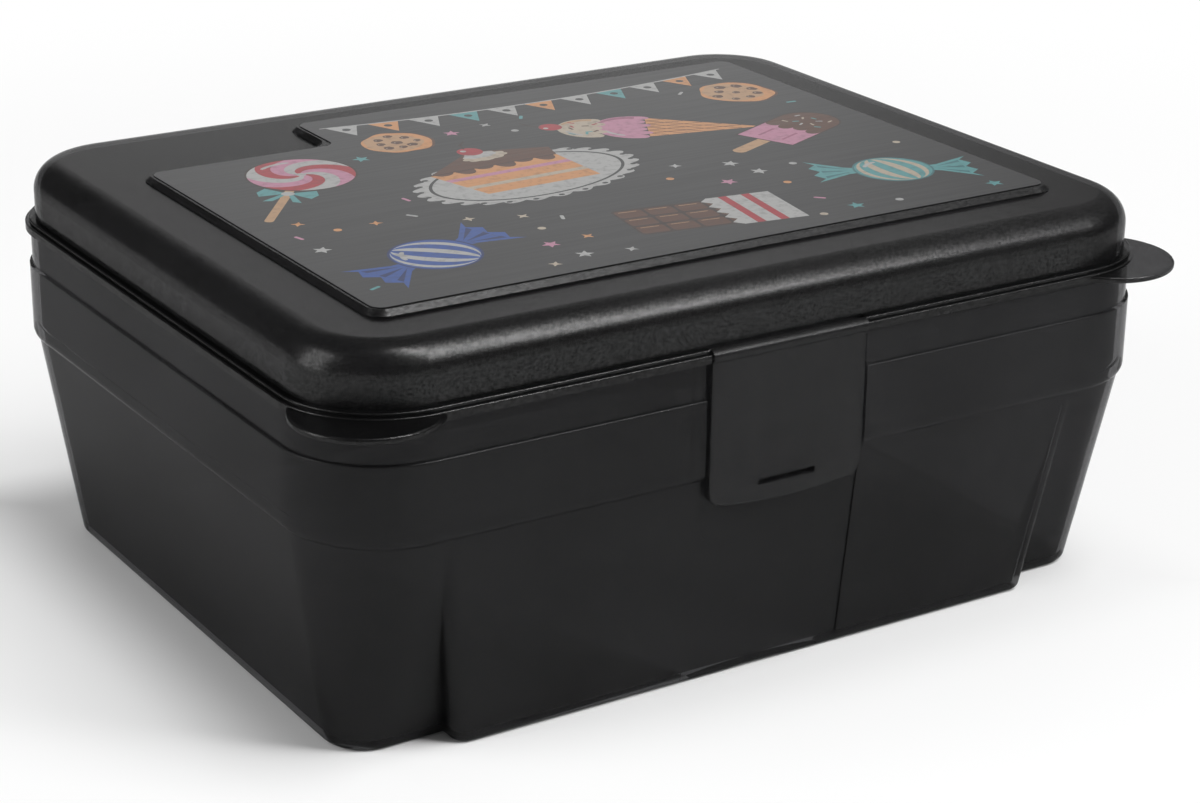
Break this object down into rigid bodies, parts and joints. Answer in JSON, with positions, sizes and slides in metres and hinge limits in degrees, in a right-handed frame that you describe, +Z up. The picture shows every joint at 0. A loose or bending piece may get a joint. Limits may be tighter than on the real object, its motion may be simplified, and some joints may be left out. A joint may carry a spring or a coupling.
{
  "type": "dessert container",
  "caption": "Low rounded-corner dessert box in smoke-tinted plastic: tapered tub, domed lid hinged at the back with a printed raised panel, lift ears, and a snap latch at the front.",
  "frame": {"origin": "centre of the overall footprint at the level of the foot", "axes": "+Z up, +X to the right along the long side, front with the latch at -Y, hinge at +Y"},
  "size_m": [0.2322, 0.1932, 0.0982],
  "materials": {
    "tub_plastic": "smoke-tinted translucent plastic, satin",
    "lid_plastic": "smoke-tinted translucent plastic, fine satin grain",
    "latch_plastic": "smoke-tinted plastic, satin",
    "printed_film": "clear film with a print of sweets in flat colours"
  },
  "bodies": {
    "tub": {"tub": "tub_plastic"},
    "lid": {"lid": "lid_plastic", "top_film": "printed_film"},
    "latch": {"front_latch": "latch_plastic"}
  },
  "joints": [
    {"name": "lid_hinge", "type": "hinge", "parent": "tub", "child": "lid", "pos_m": [0, 0.094, 0.081], "axis": [-1, 0, 0], "range_deg": [0, 180]},
    {"name": "latch_hinge", "type": "hinge", "parent": "lid", "child": "latch", "pos_m": [0, -0.0892, 0.0815], "axis": [-1, 0, 0], "range_deg": [0, 130]}
  ]
}
